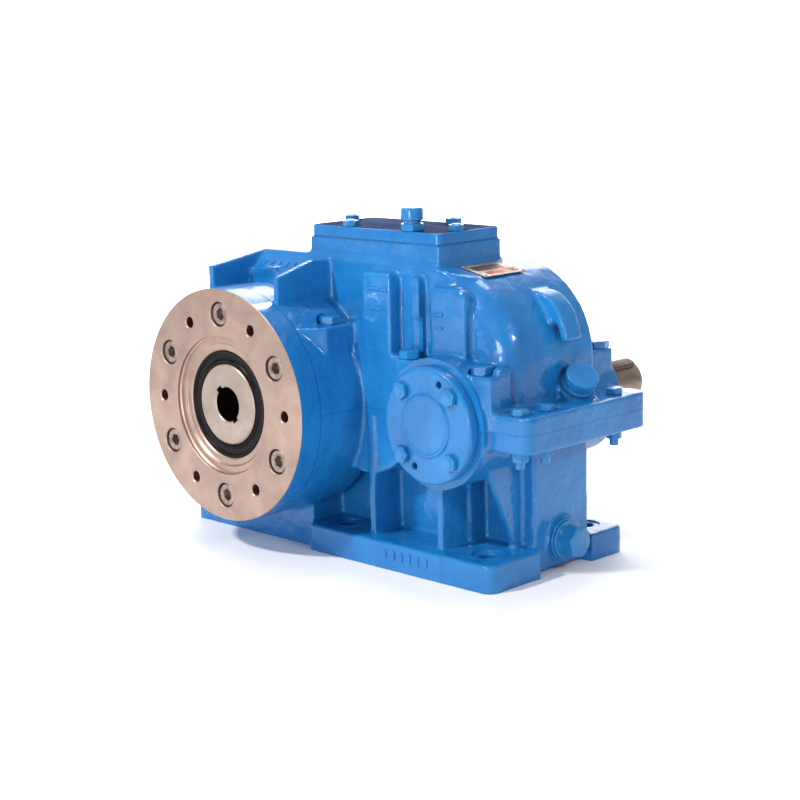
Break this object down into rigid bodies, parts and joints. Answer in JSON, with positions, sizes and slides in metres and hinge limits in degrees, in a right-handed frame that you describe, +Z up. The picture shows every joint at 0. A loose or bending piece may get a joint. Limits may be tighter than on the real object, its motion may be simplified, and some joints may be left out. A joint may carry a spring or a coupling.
{
  "type": "industrial gearbox",
  "caption": "Foot-mounted two-stage parallel-shaft gearbox with a flanged hollow output shaft, split blue cast housing, blind bearing cap and keyed input shaft",
  "frame": {"origin": "centre of the bounding box's footprint, on the floor under the feet", "axes": "+X along the row of shafts towards the input side, +Y along the shafts towards the input shaft's free end, +Z up; the output flange faces -Y"},
  "size_m": [0.619, 0.462, 0.4494],
  "materials": {
    "blue_paint": "glossy machine enamel over a rough casting",
    "oily_cover_paint": "same enamel, darker and glossy with oil",
    "gasket_paper": "matt pressed gasket sheet",
    "machined_steel": "turned face, left bare",
    "screw_steel": "plain oiled steel",
    "seal_rubber": "black nitrile, satin",
    "nameplate_metal": "brushed plate, blank",
    "ground_steel": "ground and polished",
    "gear_steel": "hobbed, lightly oiled"
  },
  "bodies": {
    "housing": {"lower_housing": "blue_paint", "upper_housing": "blue_paint", "breather": "blue_paint", "filler_plug": "blue_paint", "drain_plug": "blue_paint", "drain_plug_washer": "blue_paint", "input_bearing_cap": "blue_paint", "output_rear_cover": "blue_paint", "intermediate_rear_cover": "blue_paint", "input_rear_cover": "blue_paint", "cap_bolt_1": "blue_paint", "cap_bolt_2": "blue_paint", "cap_bolt_3": "blue_paint", "cap_bolt_4": "blue_paint", "cover_bolt_1": "blue_paint", "cover_bolt_2": "blue_paint", "cover_bolt_3": "blue_paint", "cover_bolt_4": "blue_paint", "bearing_bolt_1": "blue_paint", "bearing_bolt_2": "blue_paint", "bearing_bolt_3": "blue_paint", "split_bolt_1": "blue_paint", "split_bolt_2": "blue_paint", "split_bolt_3": "blue_paint", "split_nut_1": "blue_paint", "split_nut_2": "blue_paint", "split_nut_3": "blue_paint", "inspection_cover": "oily_cover_paint", "inspection_gasket": "gasket_paper", "output_flange": "machined_steel", "flange_screw_1": "screw_steel", "flange_screw_2": "screw_steel", "flange_screw_3": "screw_steel", "flange_screw_4": "screw_steel", "flange_screw_5": "screw_steel", "flange_screw_6": "screw_steel", "output_seal": "seal_rubber", "input_seal": "seal_rubber", "nameplate": "nameplate_metal", "output_front_bearing_outer_ring": "ground_steel", "output_rear_bearing_outer_ring": "ground_steel", "intermediate_front_bearing_outer_ring": "ground_steel", "intermediate_rear_bearing_outer_ring": "ground_steel", "input_front_bearing_outer_ring": "ground_steel", "input_rear_bearing_outer_ring": "ground_steel"},
    "output_rotor": {"hollow_output_shaft": "ground_steel", "output_gear": "gear_steel", "output_gear_key": "gear_steel", "output_front_bearing_inner_ring": "ground_steel", "output_rear_bearing_inner_ring": "ground_steel"},
    "intermediate_rotor": {"intermediate_pinion_shaft": "gear_steel", "intermediate_gear": "gear_steel", "intermediate_gear_key": "gear_steel", "intermediate_front_bearing_inner_ring": "ground_steel", "intermediate_rear_bearing_inner_ring": "ground_steel"},
    "input_rotor": {"input_pinion_shaft": "ground_steel", "input_shaft_key": "gear_steel", "input_front_bearing_inner_ring": "ground_steel", "input_rear_bearing_inner_ring": "ground_steel"}
  },
  "joints": [
    {"name": "output_spin", "type": "hinge", "parent": "housing", "child": "output_rotor", "pos_m": [-0.1195, -0.222, 0.1955], "axis": [0, 1, 0], "continuous": true},
    {"name": "intermediate_spin", "type": "hinge", "parent": "housing", "child": "intermediate_rotor", "pos_m": [0.0325, -0.031, 0.1955], "axis": [0, 1, 0], "continuous": true},
    {"name": "input_spin", "type": "hinge", "parent": "housing", "child": "input_rotor", "pos_m": [0.1725, 0.231, 0.1955], "axis": [0, 1, 0], "continuous": true}
  ],
  "couplings": [
    {"joint": "intermediate_spin", "follows": "output_spin", "ratio": -3.4706},
    {"joint": "input_spin", "follows": "output_spin", "ratio": 10.026}
  ]
}
